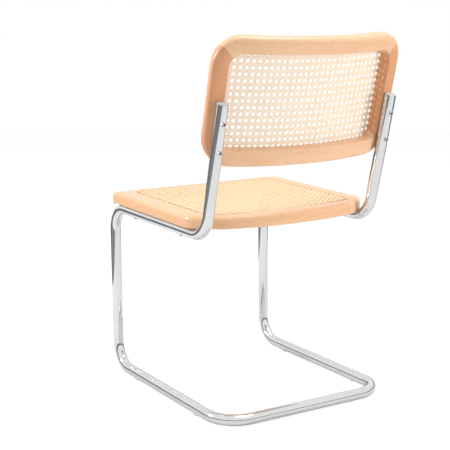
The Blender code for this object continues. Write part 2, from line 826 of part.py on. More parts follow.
def add_screws(mesh, spots, part_name, tube, wood):
    """Screws at the given places (z out of the head), with their holes in the tube and the wood."""
    head_lift = TUBE_RADIUS + SEAT_GAP
    length = TUBE_DIAMETER + SCREW_IN_WOOD
    low = head_lift - length - HOLE_CLEARANCE
    hole = cylinder(SCREW_SHANK / 2 + HOLE_CLEARANCE, low, head_lift + CUTTER_OVERSHOOT)
    for side, rail in wood.items():
        mine = [(key, spot) for key, spot in spots.items() if key.endswith(side)]
        for key, spot in mine:
            seat = spot @ Matrix.Translation((0, 0, head_lift))
            add_part(f"{part_name}_screw_{key}", mesh, SCREW_STEEL, seat)
        bores = joined([(hole, spot) for key, spot in mine])
        holes = add_cutter(f"{part_name}_holes_{side}", bores, Matrix.Identity(4))
        boolean(rail, holes, "DIFFERENCE")
        boolean(tube, holes, "DIFFERENCE")


def screw_spots(frame, along, rows):
    """Places on the tube's axis, named by row and side."""
    spots = {}
    for row, distance in zip(rows, along):
        for side, name in ((1, "left"), (-1, "right")):
            spot = Matrix.Translation((side * HALF_TRACK, distance, 0))
            spots[f"{row}_{name}"] = frame @ spot @ Matrix.Rotation(math.pi, 4, "X")
    return spots


def add_plugs():
    """A domed plug in each open end; its stem fits the bore."""
    bore = TUBE_RADIUS - TUBE_WALL - HOLE_CLEARANCE
    profile = [(0, PLUG_DOME)]
    profile += [(TUBE_RADIUS * out, PLUG_DOME * up) for out, up in PLUG_CROWN]
    profile += [(TUBE_RADIUS, 0), (bore, 0), (bore * PLUG_STEM_TAPER, -PLUG_STEM), (0, -PLUG_STEM)]
    mesh = turned(profile, TUBE_SIDES)
    for side, name in ((1, "left"), (-1, "right")):
        tip = side_joints(side)[4]
        place = Matrix.Translation(tip) @ Matrix.Rotation(-UPRIGHT_LEAN, 4, "X")
        add_part(f"tube_plug_{name}", mesh, PLUG_PLASTIC, place @ Matrix.Translation((0, 0, SEAT_GAP)))


def glide_mesh():
    """A pad hollowed to the tube's underside, with a stem that snaps into the tube; z = 0 is the floor."""
    pad = GLIDE_DIAMETER / 2
    stem = GLIDE_STEM_DIAMETER / 2
    profile = [(0, GLIDE_HEIGHT), (pad, GLIDE_HEIGHT), (pad, GLIDE_CHAMFER), (pad - GLIDE_CHAMFER, 0), (0, 0)]
    item = bpy.data.objects.new("glide", turned(profile, 16))
    CUTTERS.objects.link(item)
    saddle_mesh = cylinder(TUBE_RADIUS + SEAT_GAP, -GLIDE_DIAMETER, GLIDE_DIAMETER, 2 * TUBE_SIDES)
    saddle_mesh.transform(Matrix.Translation((0, 0, FLOOR_AXIS)) @ Matrix.Rotation(math.pi / 2, 4, "X"))
    saddle = bpy.data.objects.new("saddle", saddle_mesh)
    CUTTERS.objects.link(saddle)
    boolean(item, saddle, "DIFFERENCE")
    post = bpy.data.objects.new("post", cylinder(stem, GLIDE_LIFT / 2, GLIDE_STEM_RISE, 10))
    CUTTERS.objects.link(post)
    boolean(item, post, "UNION")
    mesh = evaluated_mesh(item)
    for extra in (item, saddle, post):
        bpy.data.objects.remove(extra, do_unlink=True)
    return mesh


def add_glides(tube):
    mesh = glide_mesh()
    hole = cylinder(GLIDE_STEM_DIAMETER / 2 + HOLE_CLEARANCE, 0, FLOOR_AXIS, 10)
    places = {}
    for row, y in (("front", -FLOOR_RUN + GLIDE_FRONT), ("rear", -GLIDE_REAR)):
        for side, name in ((1, "left"), (-1, "right")):
            places[f"{row}_{name}"] = Matrix.Translation((side * HALF_TRACK, y, 0))
    for key, place in places.items():
        add_part(f"floor_glide_{key}", mesh, GLIDE_PLASTIC, place)
    bores = joined([(hole, place) for place in places.values()])
    holes = add_cutter("glide_holes", bores, Matrix.Identity(4))
    boolean(tube, holes, "DIFFERENCE")


def centre_on_floor():
    """Moves the whole chair along Y until its bounding box is centred on the origin."""
    bpy.context.view_layer.update()
    graph = bpy.context.evaluated_depsgraph_get()
    reach = []
    for item in PARTS.objects:
        if item.type == "MESH":
            solid = item.evaluated_get(graph)
            reach += [(solid.matrix_world @ vertex.co).y for vertex in solid.data.vertices]
    middle = (min(reach) + max(reach)) / 2
    CHAIR.location.y = -middle
    bpy.context.view_layer.update()
    return middle


clear_scene()
PARTS = new_collection("cantilever_chair")
CUTTERS = new_collection("cutters")
CHAIR = bpy.data.objects.new("chair_root", None)
PARTS.objects.link(CHAIR)

CHROME = finish("chrome", (0.80, 0.82, 0.84), 0.08, 1.0)
BEECH = finish("beech", (0.78, 0.50, 0.29), 0.45)
TENON_BEECH = finish("tenon_beech", (0.72, 0.55, 0.38), 0.6)
CANE = finish("cane", (0.86, 0.74, 0.55), 0.6)
REED = finish("reed", (0.84, 0.68, 0.47), 0.55)
SCREW_STEEL = finish("screw_steel", (0.62, 0.62, 0.63), 0.25, 1.0)
PLUG_PLASTIC = finish("plug_plastic", (0.85, 0.85, 0.84), 0.35)
GLIDE_PLASTIC = finish("glide_plastic", (0.88, 0.88, 0.87), 0.3)

tube = build_tube()
seat_rails, seat_place = build_seat()
back_rails, back_place = build_back()
screw = screw_mesh()
seat_rail_axes = seat_place @ Matrix.Translation((0, 0, -TUBE_RADIUS - SEAT_GAP))
seat_spots = screw_spots(seat_rail_axes, SEAT_SCREWS_AT, ("front", "rear"))
back_spots = screw_spots(back_place, BACK_SCREWS_AT, ("lower", "upper"))
add_screws(screw, seat_spots, "seat", tube, {"left": seat_rails["left"], "right": seat_rails["right"]})
add_screws(screw, back_spots, "back", tube, {"left": back_rails["left"], "right": back_rails["right"]})
add_plugs()
add_glides(tube)
moved = centre_on_floor()
print(f"The chair was moved {-moved:.4f} m along Y to stand centred on the origin")
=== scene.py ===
# %% [markdown]
# # A cantilever dining chair in chromed tube, beech and cane
# The chair is one bent steel tube that carries a caned seat and a caned, curved back. The packed
# model gives the exact solids. They could be shown as they are, but their bends are coarse and
# their cane is a plain pierced sheet. So this lesson dresses them: it bends the tube again in
# finer steps, weaves the cane strand by strand, and gives every surface its finish. All sizes are
# in metres. The floor is z = 0, and the sitter looks along -Y, with +X to the left.

# %% Load the packed chair
import math

import bpy
from mathutils import Matrix, Vector


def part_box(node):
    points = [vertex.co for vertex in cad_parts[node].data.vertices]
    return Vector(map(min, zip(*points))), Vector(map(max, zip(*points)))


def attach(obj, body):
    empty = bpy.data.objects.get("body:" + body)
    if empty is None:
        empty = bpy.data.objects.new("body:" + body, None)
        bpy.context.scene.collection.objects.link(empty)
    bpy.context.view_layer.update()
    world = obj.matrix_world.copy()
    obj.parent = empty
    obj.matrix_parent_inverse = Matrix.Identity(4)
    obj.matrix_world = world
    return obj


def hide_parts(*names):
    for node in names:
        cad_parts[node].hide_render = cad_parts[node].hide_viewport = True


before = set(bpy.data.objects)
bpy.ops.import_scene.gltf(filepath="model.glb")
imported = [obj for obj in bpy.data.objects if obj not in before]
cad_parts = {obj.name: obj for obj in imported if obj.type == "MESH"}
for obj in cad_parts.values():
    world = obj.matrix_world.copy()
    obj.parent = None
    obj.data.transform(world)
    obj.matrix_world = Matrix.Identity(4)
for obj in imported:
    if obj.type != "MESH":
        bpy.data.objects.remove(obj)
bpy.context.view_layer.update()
print("Nodes of the packed chair:", len(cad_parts))

# %% [markdown]
# ## The camera
# The photograph looks at the chair from behind and from its left side, a little above the seat. A
# camera could be turned by hand until the picture fits. This one was worked out instead from the
# right-angled corners of the frame, because an error of one degree already shows at the far end
# of the floor rails. Its axes are written as three directions: to its right, upwards, and
# backwards out of the picture.

# %% Where the camera stands and looks
CAMERA_TURN, CAMERA_RISE, CAMERA_ROLL = (math.radians(a) for a in (148.9125, 10.7458, -0.5835))
CAMERA_SPOT = Vector((1.3435, 2.1159, 0.8574))
SENSOR_WIDTH = 36.0
PHOTO_WIDTH = 450
FOCAL_PIXELS = 1106.3896
CAMERA_LENS = FOCAL_PIXELS * SENSOR_WIDTH / PHOTO_WIDTH


def camera_axes():
    """Right, up and backwards directions of the camera, with its slight roll."""
    flat = math.cos(CAMERA_RISE)
    behind = Vector(
        (math.sin(CAMERA_TURN) * flat, -math.cos(CAMERA_TURN) * flat, math.sin(CAMERA_RISE))
    )
    right = (-behind).cross(Vector((0, 0, 1))).normalized()
    above = right.cross(-behind)
    cosine, sine = math.cos(CAMERA_ROLL), math.sin(CAMERA_ROLL)
    return right * cosine + above * sine, above * cosine - right * sine, behind


print(f"A lens of {CAMERA_LENS:.1f} mm, {CAMERA_SPOT.length:.2f} m from the middle of the floor")

# %% Set the camera
camera_data = bpy.data.cameras.new("camera")
camera_data.sensor_width = SENSOR_WIDTH
camera_data.lens = CAMERA_LENS
camera = bpy.data.objects.new("camera", camera_data)
bpy.context.scene.collection.objects.link(camera)
columns = Matrix(camera_axes()).transposed().to_4x4()
camera.matrix_world = Matrix.Translation(CAMERA_SPOT) @ columns
bpy.context.scene.camera = camera
print("Camera at", [round(value, 3) for value in CAMERA_SPOT])

# %% [markdown]
# ## Writing shader maths
# A material is a small network of nodes, which could be drawn by hand in the Shader Editor. Here
# it is written as sums, because a recipe with many nodes is then easier to read and to repeat. A
# wire stands for one output of a node, and Python's own plus, minus and times signs add the Math
# nodes.


# %% Wires
class Wire:
    """One output socket of a node, which can be used in sums."""

    def __init__(self, finish, socket):
        self.finish = finish
        self.socket = socket

    def sum(self, operation, first, second):
        settings = {"operation": operation}
        return self.finish.node("ShaderNodeMath", settings, {0: first, 1: second})

    def __add__(self, other):
        return self.sum("ADD", self, other)

    __radd__ = __add__

    def __sub__(self, other):
        return self.sum("SUBTRACT", self, other)

    def __rsub__(self, other):
        return self.sum("SUBTRACT", other, self)

    def __mul__(self, other):
        return self.sum("MULTIPLY", self, other)

    __rmul__ = __mul__


print("A wire can be added, taken away and multiplied")

# %% [markdown]
# A finish is a material with its main shader. Every other node comes from one method, which sets
# the node's own settings first and then fills or links its inputs. The patterns are all noise in
# the piece's own coordinates, so no piece has to be unwrapped.


# %% Finishes
class Finish:
    """A material and its network of nodes."""

    def __init__(self, name, **constants):
        self.material = bpy.data.materials.new(name)
        self.material.use_nodes = True
        self.tree = self.material.node_tree
        self.shader = self.tree.nodes["Principled BSDF"]
        for key, value in constants.items():
            self.shader.inputs[key.replace("_", " ")].default_value = value

    def node(self, kind, settings, values, output=0):
        """Adds a node; values are numbers, colours or wires by socket name or number."""
        item = self.tree.nodes.new(kind)
        for key, value in settings.items():
            setattr(item, key, value)
        for key, value in values.items():
            self.feed(item.inputs[key], value)
        return Wire(self, item.outputs[output])

    def feed(self, socket, value):
        """Links a wire to a socket, or sets the socket to a number or colour."""
        if isinstance(value, Wire):
            self.tree.links.new(value.socket, socket)
        else:
            socket.default_value = value

    def place(self, stretch=(1.0, 1.0, 1.0), turn=(0.0, 0.0, 0.0)):
        """Object coordinates, turned and then stretched by Mapping nodes."""
        spot = self.node("ShaderNodeTexCoord", {}, {}, "Object")
        turned = self.node("ShaderNodeMapping", {}, {"Vector": spot, "Rotation": turn})
        return self.node("ShaderNodeMapping", {}, {"Vector": turned, "Scale": stretch})

    def noise(self, place, scale, detail=2.0, roughness=0.5):
        values = {"Vector": place, "Scale": scale, "Detail": detail, "Roughness": roughness}
        return self.node("ShaderNodeTexNoise", {}, values)

    def between(self, wire, low, high):
        """The wire's values from low to high stretched over 0 to 1 and kept there."""
        values = {"Value": wire, "From Min": low, "From Max": high}
        return self.node("ShaderNodeMapRange", {"clamp": True}, values)

    def mark(self, attribute):
        """A mark on the mesh's faces: 1 where they carry it, otherwise 0."""
        return self.node("ShaderNodeAttribute", {"attribute_name": attribute}, {}, "Fac")

    def mix(self, share, first, second):
        """The first colour where the share is 0 and the second where it is 1."""
        settings = {"data_type": "RGBA"}
        return self.node("ShaderNodeMix", settings, {0: share, 6: first, 7: second}, 2)

    def bump(self, height, strength, distance):
        values = {"Height": height, "Strength": strength, "Distance": distance}
        self.feed(self.shader.inputs["Normal"], self.node("ShaderNodeBump", {}, values))

    def surface(self, **wires):
        """Links the wires to the main shader and hands over the material."""
        for key, wire in wires.items():
            self.feed(self.shader.inputs[key.replace("_", " ")], wire)
        return self.material


print("A finish can make:", ", ".join(name for name in vars(Finish) if not name.startswith("_")))

# %% [markdown]
# ## Beech
# Lacquered beech is a warm, even tan with faint bands, fine lines and small darker flecks, all
# along the grain. A picture of wood could be laid on it, but it would have to be unwrapped for
# every rail. Noise that is stretched along the grain gives all three without that. A thin coat
# gives the satin sheen of the lacquer.

# %% Beech recipe
BEECH_PALE = (0.81, 0.495, 0.285, 1.0)
BEECH_DEEP = (0.73, 0.40, 0.21, 1.0)
BEECH_FLECK = (0.50, 0.20, 0.08, 1.0)
BAND_SCALE, LINE_SCALE, FLECK_SCALE = 38.0, 420.0, 560.0
GRAIN_SHARE, FLECK_SHARE = 0.09, 0.24  # how far the noise is squeezed along the grain
FLECK_DEPTH = 0.50


def beech(name, grain, turn=(0.0, 0.0, 0.0), board_tone_and_light=(1.0, 1.0, 1.0)):
    """Beech with its grain along one axis: 0, 1 or 2, and its board's tone, partly painted sheen or
    shade as given.
    """
    pale, deep = (
        (*(channel * share for channel, share in zip(colour, board_tone_and_light)), 1.0)
        for colour in (BEECH_PALE, BEECH_DEEP)
    )
    finish = Finish(name, Coat_Weight=0.42, Coat_Roughness=0.24)
    along, short = (
        finish.place(tuple(share if axis == grain else 1.0 for axis in range(3)), turn)
        for share in (GRAIN_SHARE, FLECK_SHARE)
    )
    bands = finish.between(finish.noise(along, BAND_SCALE, detail=3.0), 0.30, 0.72)
    lines = finish.between(finish.noise(along, LINE_SCALE), 0.35, 0.75)
    flecks = finish.between(finish.noise(short, FLECK_SCALE, roughness=0.6), 0.60, 0.69)
    tone = finish.mix(bands * 0.7 + lines * 0.3, pale, deep)
    colour = finish.mix(flecks * FLECK_DEPTH, tone, BEECH_FLECK)
    finish.bump(lines * 0.5 + flecks, strength=0.10, distance=0.0003)
    return finish.surface(Base_Color=colour, Roughness=0.36 + bands * 0.10)


print(f"Beech from {BEECH_DEEP[:3]} to {BEECH_PALE[:3]}, flecks {BEECH_FLECK[:3]}")

# %% [markdown]
# The rails run in three directions, and the back's stiles lean with the uprights, so the one
# recipe is used for several finishes. The back's long rails are the palest and its two stiles the
# reddest and darkest. This is partly the boards' own tone and partly painted light: painted sheen
# on the long rails, painted shade on the stiles.

# %% Beech finishes
BACK_LEAN = math.radians(14.76)  # of the uprights, and of the stiles with them
# Paler long rails are partly painted sheen. Redder, darker stiles are partly painted shade.
PALE_BOARD_AND_SHEEN, RED_BOARD_AND_SHADE = (1.00, 1.05, 1.10), (0.86, 0.70, 0.61)
BEECH_ACROSS = beech("beech_across", 0)
BEECH_DEEPWISE = beech("beech_deepwise", 1)
BEECH_PALE_BOARD_AND_SHEEN = beech("beech_pale_board_and_sheen", 0, board_tone_and_light=PALE_BOARD_AND_SHEEN)
BEECH_UPRIGHT = beech("beech_upright", 2, (-BACK_LEAN, 0.0, 0.0), RED_BOARD_AND_SHADE)
TENON_BEECH = beech("tenon_beech", 0)
WOODS = (BEECH_ACROSS, BEECH_DEEPWISE, BEECH_PALE_BOARD_AND_SHEEN, BEECH_UPRIGHT, TENON_BEECH)
print("Beech finishes:", ", ".join(wood.name for wood in WOODS))

# %% [markdown]
# ## Chrome
# Chrome plate is a clean mirror with a trace of haze. A metal with one roughness would do, but it
# looks too perfect to be real. Two soft noises vary the haze and the tint, as wiping does.

# %% Chrome finish
CHROME_BRIGHT = (0.735, 0.75, 0.765, 1.0)
CHROME_WIPED = (0.70, 0.715, 0.735, 1.0)
HAZE_SCALE, WIPE_SCALE = 90.0, 9.0


def chrome(name):
    finish = Finish(name, Metallic=1.0)
    haze = finish.between(finish.noise(finish.place(), HAZE_SCALE, detail=3.0), 0.35, 0.75)
    wipe = finish.between(finish.noise(finish.place(), WIPE_SCALE), 0.40, 0.70)
    colour = finish.mix(wipe, CHROME_BRIGHT, CHROME_WIPED)
    return finish.surface(Base_Color=colour, Roughness=0.035 + haze * 0.05)


CHROME = chrome("chrome")
print("Chrome finish:", CHROME.name)

# %% [markdown]
# ## Cane
# Cane is rattan split into flat strands. The broad faces are its shiny bark: pale straw that
# varies from strand to strand, with short brown marks. The cut edges get a duller brown, which is
# partly the pith and partly painted shade, the shade that falls on the walls of the holes. Two
# materials could do this. One material that reads a mark on the bark's faces is used instead,
# because one woven cell carries the mark and the arrays repeat it. The reed in the grooves has no
# bark, so it is pith all over.

# %% Cane finishes
CANE_PALE, CANE_WARM = (0.90, 0.80, 0.64, 1.0), (0.86, 0.70, 0.52, 1.0)
SEAT_PALE, SEAT_WARM = (0.93, 0.72, 0.48, 1.0), (0.90, 0.66, 0.41, 1.0)
CANE_MARK = (0.42, 0.24, 0.10, 1.0)
# Pith brown: the reed's own colour, and painted shade on the strands' sides.
PITH_AND_SIDE_SHADE = (0.70, 0.50, 0.28, 1.0)
PATCH_SCALE, FIBRE_SCALE, MARK_SCALE = 120.0, 1500.0, 420.0
MARK_DEPTH = 0.55


def cane(name, pale, warm):
    """Rattan strands: bark on the faces marked as bark, pith and painted shade on the others."""
    finish = Finish(name, Coat_Weight=0.15, Coat_Roughness=0.3)
    spot = finish.place()
    patches = finish.between(finish.noise(spot, PATCH_SCALE), 0.30, 0.75)
    fibres = finish.noise(spot, FIBRE_SCALE)
    marks = finish.between(finish.noise(spot, MARK_SCALE, roughness=0.6), 0.64, 0.70)
    tone = finish.mix(patches * 0.75 + fibres * 0.25, pale, warm)
    bark = finish.mix(marks * MARK_DEPTH, tone, CANE_MARK)
    finish.bump(fibres, strength=0.25, distance=0.0002)
    # Faces without the bark mark get the pith colour, which is painted shade on the hole walls.
    return finish.surface(
        Base_Color=finish.mix(finish.mark("bark"), PITH_AND_SIDE_SHADE, bark), Roughness=0.45 + fibres * 0.15
    )


BACK_CANE = cane("back_cane_straw", CANE_PALE, CANE_WARM)
SEAT_CANE = cane("seat_cane_straw", SEAT_PALE, SEAT_WARM)
REED = cane("split_reed", PITH_AND_SIDE_SHADE, PITH_AND_SIDE_SHADE)
print("Cane finishes:", BACK_CANE.name, SEAT_CANE.name, REED.name)

# %% [markdown]
# ## Plastic
# The plugs in the uprights and the glides under the floor rails are pale, slightly cloudy
# plastic. Plain glass would look too clear, so an ordinary surface lets a share of the light
# through, and soft noise clouds it.

# %% Plastic finishes
PLUG_PALE, PLUG_SHADE = (0.86, 0.86, 0.84, 1.0), (0.74, 0.74, 0.72, 1.0)
GLIDE_PALE, GLIDE_SHADE = (0.95, 0.95, 0.94, 1.0), (0.90, 0.90, 0.89, 1.0)
CLOUD_SCALE = 160.0


def plastic(name, colour, shade, clear):
    finish = Finish(name, Transmission_Weight=clear, IOR=1.49)
    cloud = finish.between(finish.noise(finish.place(), CLOUD_SCALE, detail=3.0), 0.35, 0.70)
    return finish.surface(
        Base_Color=finish.mix(cloud, colour, shade), Roughness=0.30 + cloud * 0.08
    )


PLUG_PLASTIC = plastic("plug_plastic", PLUG_PALE, PLUG_SHADE, clear=0.35)
GLIDE_PLASTIC = plastic("glide_plastic", GLIDE_PALE, GLIDE_SHADE, clear=0.10)
print("Plastic finishes:", PLUG_PLASTIC.name, GLIDE_PLASTIC.name)

# %% [markdown]
# ## Screw steel
# The screws are plated steel, a little warmer and duller than the tube. The socket of each head
# is painted dark as shade, darker than its hollow falls by itself. A mark on the socket's faces
# turns the steel into this painted shade there, which needs no second material.

# %% Screw finish
PLATE_BRIGHT, PLATE_DULL = (0.66, 0.65, 0.62, 1.0), (0.50, 0.48, 0.45, 1.0)
# Painted shade for the hollow of each socket.
SOCKET_PAINTED_SHADE = (0.03, 0.026, 0.022, 1.0)
GRIT_SCALE = 900.0


def steel(name):
    finish = Finish(name)
    grit = finish.noise(finish.place(), GRIT_SCALE, detail=3.0)
    socket = finish.mark("socket")
    plate = finish.mix(grit, PLATE_BRIGHT, PLATE_DULL)
    finish.bump(grit, strength=0.2, distance=0.0001)
    # The socket's faces get painted shade: dark, duller and hardly metallic.
    return finish.surface(
        Base_Color=finish.mix(socket, plate, SOCKET_PAINTED_SHADE), Metallic=1 - socket * 0.8,
        Roughness=0.20 + grit * 0.15 + socket * 0.4,
    )


SCREW_STEEL = steel("screw_steel")
print("Screw finish:", SCREW_STEEL.name)

# %% [markdown]
# ## Working by operators
# A mesh could be written as lists of points. Here each new piece starts as a primitive and is
# shaped by the same operators that the menus call, so every step can be repeated by hand. An
# operator acts on whatever is selected, so a few helpers keep the selection and the mode clear.


# %% Helpers for operators
def only(piece):
    """Selects this piece alone and makes it the active one."""
    if bpy.context.object and bpy.context.object.mode != "OBJECT":
        bpy.ops.object.mode_set(mode="OBJECT")
    bpy.ops.object.select_all(action="DESELECT")
    piece.select_set(True)
    bpy.context.view_layer.objects.active = piece


def edit(piece):
    """Opens the piece in edit mode with everything selected."""
    only(piece)
    bpy.ops.object.mode_set(mode="EDIT")
    bpy.ops.mesh.select_all(action="SELECT")


def leave():
    """Leaves edit mode and hands over the piece."""
    bpy.ops.object.mode_set(mode="OBJECT")
    return bpy.context.object


def push(vector):
    """Extrudes what is selected along a vector."""
    bpy.ops.mesh.extrude_region_move(TRANSFORM_OT_translate={"value": vector})


def settle(piece):
    """Puts the piece's place into its mesh, with the object itself at the origin."""
    only(piece)
    bpy.ops.object.transform_apply(location=True, rotation=True, scale=True)


def apply_modifier(piece, kind, **settings):
    """Adds a modifier, sets it and applies it."""
    only(piece)
    step = piece.modifiers.new(kind.lower(), kind)
    for key, value in settings.items():
        setattr(step, key, value)
    bpy.ops.object.modifier_apply(modifier=step.name)


# %% [markdown]
# Each finished piece takes the place of one solid of the packed chair. It rides on the chair's
# one body, and it is shaded smooth wherever its faces meet gently.

# %% Handing a piece over
SMOOTH_ANGLE = math.radians(40)


def finished(piece, name, material, slot, *nodes, smooth=SMOOTH_ANGLE):
    """Names a piece, gives it its finish and hands it over to the packed chair."""
    only(piece)
    piece.name = name
    piece.data.name = name
    piece.data.materials.clear()
    piece.data.materials.append(material)
    bpy.ops.object.shade_smooth_by_angle(angle=smooth)
    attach(piece, "root")
    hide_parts(*nodes)
    piece.data.calc_loop_triangles()
    print(f"{name}: {len(piece.data.loop_triangles)} triangles, stands for {', '.join(nodes)}")


print(f"Faces that meet within {math.degrees(SMOOTH_ANGLE):.0f} degrees are smoothed")

# %% [markdown]
# ## The tube
# The real frame is one length of steel tube, bent cold round formers. A curve with a round bevel
# would be the quick way, but its bends only come near to true arcs. So the tube is made as the
# real one is bent: a ring of vertices is pushed along each straight run and spun round the centre
# of each bend. First come its sizes, and the corners where the straight runs would meet.

# %% Sizes and corners of the tube
TUBE_RADIUS, TUBE_WALL = 0.0125, 0.002
HALF_TRACK = 0.2127
FLOOR_RUN, FLOOR_AXIS = 0.5017, 0.0140
LEG_RISE, LEG_LEAN = 0.396, math.radians(0.3)
SEAT_RUN, SEAT_FALL = 0.4339, math.radians(1.06)
UPRIGHT_RUN = 0.2924
GLIDE_FRONT = 0.105  # from the foot's corner back to the front glide

# The packed chair is centred on its own box, so a glide tells where the tube lies in it.
glide_low, glide_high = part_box("floor_glide_front_left")
REAR_AXIS_Y = (glide_low.y + glide_high.y) / 2 + FLOOR_RUN - GLIDE_FRONT


def side_corners():
    """Where the straight runs of the left side would meet: corner, foot, knee, hip and tip."""
    corner = Vector((HALF_TRACK, REAR_AXIS_Y, FLOOR_AXIS))
    foot = corner + Vector((0, -FLOOR_RUN, 0))
    knee = foot + LEG_RISE * Vector((0, math.sin(LEG_LEAN), math.cos(LEG_LEAN)))
    hip = knee + SEAT_RUN * Vector((0, math.cos(SEAT_FALL), -math.sin(SEAT_FALL)))
    tip = hip + UPRIGHT_RUN * Vector((0, math.sin(BACK_LEAN), math.cos(BACK_LEAN)))
    return corner, foot, knee, hip, tip


for label, spot in zip(("corner", "foot", "knee", "hip", "tip"), side_corners()):
    print(f"{label}: y {spot.y:.4f}, z {spot.z:.4f}")

# %% [markdown]
# Only half of the tube is bent, from the middle of the rear crossbar to the tip of one upright,
# because the chair is the same on both sides. Each bend starts and ends at the same reach from
# its corner.

# %% Bend half of the tube
TUBE_SIDES = 36
BEND_STEPS = 16
CORNER_BEND, OTHER_BEND = 0.070, 0.060


def bent_half_tube():
    """An open skin from the middle of the crossbar to the tip of the left upright."""
    run = [Vector((0, REAR_AXIS_Y, FLOOR_AXIS)), *side_corners()]
    here = run[0]
    bpy.ops.mesh.primitive_circle_add(
        vertices=TUBE_SIDES, radius=TUBE_RADIUS, location=here, rotation=(0, math.pi / 2, 0)
    )
    tube = bpy.context.object
    settle(tube)
    edit(tube)
    radii = [CORNER_BEND, OTHER_BEND, OTHER_BEND, OTHER_BEND]
    for before, joint, after, radius in zip(run, run[1:], run[2:], radii):
        arriving = (joint - before).normalized()
        leaving = (after - joint).normalized()
        turn = arriving.angle(leaving)
        reach = radius * math.tan(turn / 2)
        push(joint - arriving * reach - here)
        inward = (leaving - arriving * arriving.dot(leaving)).normalized()
        centre = joint - arriving * reach + inward * radius
        axis = arriving.cross(leaving).normalized()
        # spin turns against the right-hand rule, so the turn has a minus sign.
        bpy.ops.mesh.spin(steps=BEND_STEPS, angle=-turn, center=centre, axis=axis)
        here = joint + leaving * reach
    push(run[-1] - here)
    return leave()


bpy.ops.object.select_all(action="DESELECT")
tube = bent_half_tube()
print("Half of the tube:", len(tube.data.polygons), "faces")

# %% [markdown]
# The mirror gives the other half. The wall comes last, because a skin is easier to bend than a
# wall, and the open ends then show the thickness of the steel.

# %% Mirror the tube and give it its wall
SEAM_GAP = 0.00001

apply_modifier(tube, "MIRROR", use_axis=(True, False, False), merge_threshold=SEAM_GAP)
edit(tube)
bpy.ops.mesh.remove_doubles(threshold=SEAM_GAP)
bpy.ops.mesh.normals_make_consistent(inside=False)
tube = leave()
apply_modifier(tube, "SOLIDIFY", thickness=TUBE_WALL, offset=-1.0, use_even_offset=True)
finished(tube, "bent_tube", CHROME, "chromed_tube", "frame_tube")

# %% [markdown]
# ## The rails
# The seat and the back are mitred beech frames. They could be modelled anew, but the packed
# solids already have the right shape. Only, each of their triangles stands alone, so light would
# break on every edge. A copy of each is merged into one skin and smoothed wherever its faces meet
# gently, which keeps the crisp arrises of the mitres and grooves.

# %% Smooth copies of the wooden rails
MERGE_GAP = 0.000005


def merged_copy(node, name):
    """A copy of a packed node's mesh, merged into one skin."""
    copy = bpy.data.objects.new(name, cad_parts[node].data.copy())
    bpy.context.scene.collection.objects.link(copy)
    edit(copy)
    bpy.ops.mesh.customdata_custom_splitnormals_clear()
    bpy.ops.mesh.remove_doubles(threshold=MERGE_GAP)
    bpy.ops.mesh.tris_convert_to_quads()
    return leave()


def smooth_copy(node, name, material, slot, smooth=SMOOTH_ANGLE):
    finished(merged_copy(node, name), name, material, slot, node, smooth=smooth)


RAILS = {
    "seat_front_rail": BEECH_ACROSS, "seat_rear_rail": BEECH_ACROSS,
    "seat_left_rail": BEECH_DEEPWISE, "seat_right_rail": BEECH_DEEPWISE,
    "back_top_rail": BEECH_PALE_BOARD_AND_SHEEN, "back_bottom_rail": BEECH_PALE_BOARD_AND_SHEEN,
    "back_left_stile": BEECH_UPRIGHT, "back_right_stile": BEECH_UPRIGHT,
}
for node, material in RAILS.items():
    smooth_copy(node, f"{node}_wood", material, "beech")

# %% [markdown]
# ## Reeds, plugs, glides and tenons
# A reed wedges the cane into each groove, a plug closes each upright, and four glides keep the
# tube off the floor. They are smooth copies too. The eight loose tenons across the mitres are
# never seen, so they stay as the packed solids and only get a finish of wood.

# %% Small parts
REED_ANGLE = math.radians(60)

for node in ("seat_spline", "back_spline"):
    smooth_copy(node, f"{node}_reed", REED, "reed", REED_ANGLE)
for side in ("left", "right"):
    smooth_copy(f"tube_plug_{side}", f"plug_{side}", PLUG_PLASTIC, "plug_plastic")
    for row in ("front", "rear"):
        node = f"floor_glide_{row}_{side}"
        smooth_copy(node, f"glide_{row}_{side}", GLIDE_PLASTIC, "glide_plastic")
tenons = [item for node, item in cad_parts.items() if "_tenon_" in node]
for item in tenons:
    item.data.materials.clear()
    item.data.materials.append(TENON_BEECH)
print("Tenons with a finish of wood:", len(tenons))

# %% [markdown]
# ## Screws
# The photograph shows each screw head as a bright ring with a dark middle: a socket for a hexagon
# key. It could be painted on, but a real hollow catches the light rightly from every side. So it
# is cut with a Boolean. The cutter stands on the middle of the head's flat, which is the part of
# the screw that lies furthest in the outward direction.

# %% Cut a hexagon socket
SOCKET_RADIUS, SOCKET_DEPTH = 0.0023, 0.0018
SOCKET_EDGE = 0.0003  # faces nearer to the flat than this are the head's own
FLAT_DEPTH = 0.00001  # vertices this near to the top belong to the flat
SCREW_ANGLE = math.radians(35)


